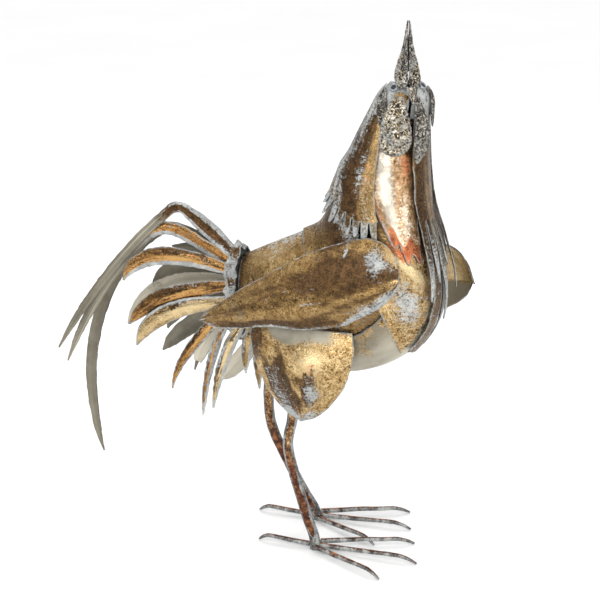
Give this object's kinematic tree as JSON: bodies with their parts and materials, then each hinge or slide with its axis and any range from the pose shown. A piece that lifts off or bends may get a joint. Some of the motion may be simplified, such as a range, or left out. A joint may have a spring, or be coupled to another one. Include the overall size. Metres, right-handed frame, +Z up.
{
  "type": "metal rooster sculpture",
  "caption": "Standing garden rooster of overlapped, bent and gilded sheet metal plates, with a fanned tail of curved blades, a turned head with comb and wattles, on rod legs.",
  "frame": {"origin": "centre of the bounding box on the ground, on the level of the soles and claws", "axes": "+Z up, the bird heads along +X, its right side faces -Y"},
  "size_m": [0.4808, 0.1886, 0.6002],
  "materials": {
    "gilded_sheet": "gold leaf over grey paint, worn at the edges",
    "brown_gilded_sheet": "gold leaf mottled with dark brown patina",
    "grey_painted_sheet": "pale blue-grey paint with brown wear",
    "copper_gilded_sheet": "copper and gold leaf, shiny",
    "pitted_sheet": "pitted, speckled gold on grey",
    "brown_gilded_rod": "brown patina with pale worn sides",
    "eye_button": "dark domed button with a bright rim"
  },
  "bodies": {
    "root": {"back_plate_front": "brown_gilded_sheet", "back_plate_rear": "gilded_sheet", "beak": "pitted_sheet", "belly_plate": "grey_painted_sheet", "breast_plate_left": "copper_gilded_sheet", "breast_plate_right": "copper_gilded_sheet", "breast_strip_far": "grey_painted_sheet", "breast_strip_inner": "brown_gilded_sheet", "breast_strip_outer": "brown_gilded_sheet", "cheek_plate_left": "grey_painted_sheet", "cheek_plate_right": "grey_painted_sheet", "comb_left": "pitted_sheet", "comb_right": "pitted_sheet", "ear_lobe_left": "pitted_sheet", "ear_lobe_right": "pitted_sheet", "eye_left": "eye_button", "eye_right": "eye_button", "fan_brown": "brown_gilded_sheet", "fan_far_middle": "brown_gilded_sheet", "fan_far_upper": "grey_painted_sheet", "fan_gold": "gilded_sheet", "fan_gold_lower": "gilded_sheet", "fan_grey_upper": "grey_painted_sheet", "fan_olive": "grey_painted_sheet", "flank_plate_left": "grey_painted_sheet", "flank_plate_right": "grey_painted_sheet", "hackle_plate_left": "brown_gilded_sheet", "hackle_plate_right": "brown_gilded_sheet", "leaf_pale": "grey_painted_sheet", "leaf_tan": "grey_painted_sheet", "leg_left": "brown_gilded_rod", "leg_right": "brown_gilded_rod", "nape_plate": "brown_gilded_sheet", "sickle_far": "grey_painted_sheet", "sickle_hanging": "grey_painted_sheet", "sickle_second": "copper_gilded_sheet", "sickle_top": "brown_gilded_sheet", "spike_far": "brown_gilded_sheet", "spike_long": "grey_painted_sheet", "spike_upper": "brown_gilded_sheet", "tail_plate": "grey_painted_sheet", "thigh_left": "gilded_sheet", "thigh_right": "gilded_sheet", "throat_plate": "copper_gilded_sheet", "throat_side_plate": "gilded_sheet", "tip_rear": "brown_gilded_sheet", "tip_thigh_front": "grey_painted_sheet", "tip_thigh_rear": "grey_painted_sheet", "toe_left_back": "brown_gilded_rod", "toe_left_inner": "brown_gilded_rod", "toe_left_middle": "brown_gilded_rod", "toe_left_outer": "brown_gilded_rod", "toe_right_back": "brown_gilded_rod", "toe_right_inner": "brown_gilded_rod", "toe_right_middle": "brown_gilded_rod", "toe_right_outer": "brown_gilded_rod", "wattle_left": "pitted_sheet", "wattle_right": "pitted_sheet", "wing_left": "gilded_sheet", "wing_right": "gilded_sheet"}
  },
  "joints": []
}
